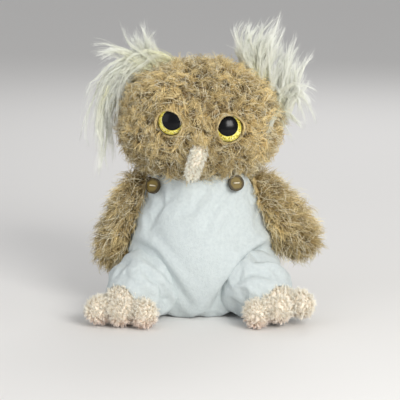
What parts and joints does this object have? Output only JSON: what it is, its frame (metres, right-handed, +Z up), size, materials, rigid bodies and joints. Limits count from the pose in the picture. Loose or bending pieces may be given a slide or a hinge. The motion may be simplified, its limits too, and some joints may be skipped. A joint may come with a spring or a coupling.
{
  "type": "plush owl",
  "caption": "Seated plush owl in bib overalls: stuffed torso with a turning head, lifting wings and swinging legs with round-toed feet.",
  "frame": {"origin": "on the resting surface, under the middle of the torso", "axes": "+Z up; the owl faces -Y, so its own left side is at +X"},
  "size_m": [0.1665, 0.1295, 0.2113],
  "materials": {
    "fur": "long curly pile plush, tan with straw tips",
    "hair": "long silky pile, cream white",
    "fleece": "white short-nap fleece",
    "chenille": "curly short-pile plush, cream to pale pink",
    "glitter": "gold glitter under a clear gloss dome",
    "pupil": "black, polished",
    "button": "brown horn look, satin with a darker rim",
    "thread": "pale sewing thread",
    "nylon": "natural moulded nylon"
  },
  "bodies": {
    "torso": {"torso": "fur", "overalls": "fleece", "left_strap": "fleece", "right_strap": "fleece", "left_button": "button", "right_button": "button", "left_button_thread": "thread", "right_button_thread": "thread"},
    "head": {"head": "fur", "left_eye": "glitter", "right_eye": "glitter", "left_pupil": "pupil", "right_pupil": "pupil", "left_eye_washer": "nylon", "right_eye_washer": "nylon", "beak": "chenille", "left_tuft": "hair", "right_tuft": "hair"},
    "left_wing": {"left_wing": "fur"},
    "right_wing": {"right_wing": "fur"},
    "left_leg": {"left_leg": "chenille", "left_trouser_leg": "fleece", "left_foot": "chenille"},
    "right_leg": {"right_leg": "chenille", "right_trouser_leg": "fleece", "right_foot": "chenille"}
  },
  "joints": [
    {"name": "head_turn", "type": "hinge", "parent": "torso", "child": "head", "pos_m": [0, 0, 0.1168], "axis": [0, 0, 1], "range_deg": [-30, 30], "stiffness_Nm_per_rad": 0.02},
    {"name": "left_wing_lift", "type": "hinge", "parent": "torso", "child": "left_wing", "pos_m": [0.04, 0, 0.0858], "axis": [0, -1, 0], "range_deg": [0, 60], "stiffness_Nm_per_rad": 0.003},
    {"name": "right_wing_lift", "type": "hinge", "parent": "torso", "child": "right_wing", "pos_m": [-0.04, 0, 0.0858], "axis": [0, 1, 0], "range_deg": [0, 60], "stiffness_Nm_per_rad": 0.003},
    {"name": "left_leg_swing", "type": "hinge", "parent": "torso", "child": "left_leg", "pos_m": [0.0334, -0.026, 0.0223], "axis": [1, 0, 0], "range_deg": [-10, 80], "stiffness_Nm_per_rad": 0.02},
    {"name": "right_leg_swing", "type": "hinge", "parent": "torso", "child": "right_leg", "pos_m": [-0.0334, -0.026, 0.0223], "axis": [1, 0, 0], "range_deg": [-10, 80], "stiffness_Nm_per_rad": 0.02}
  ]
}
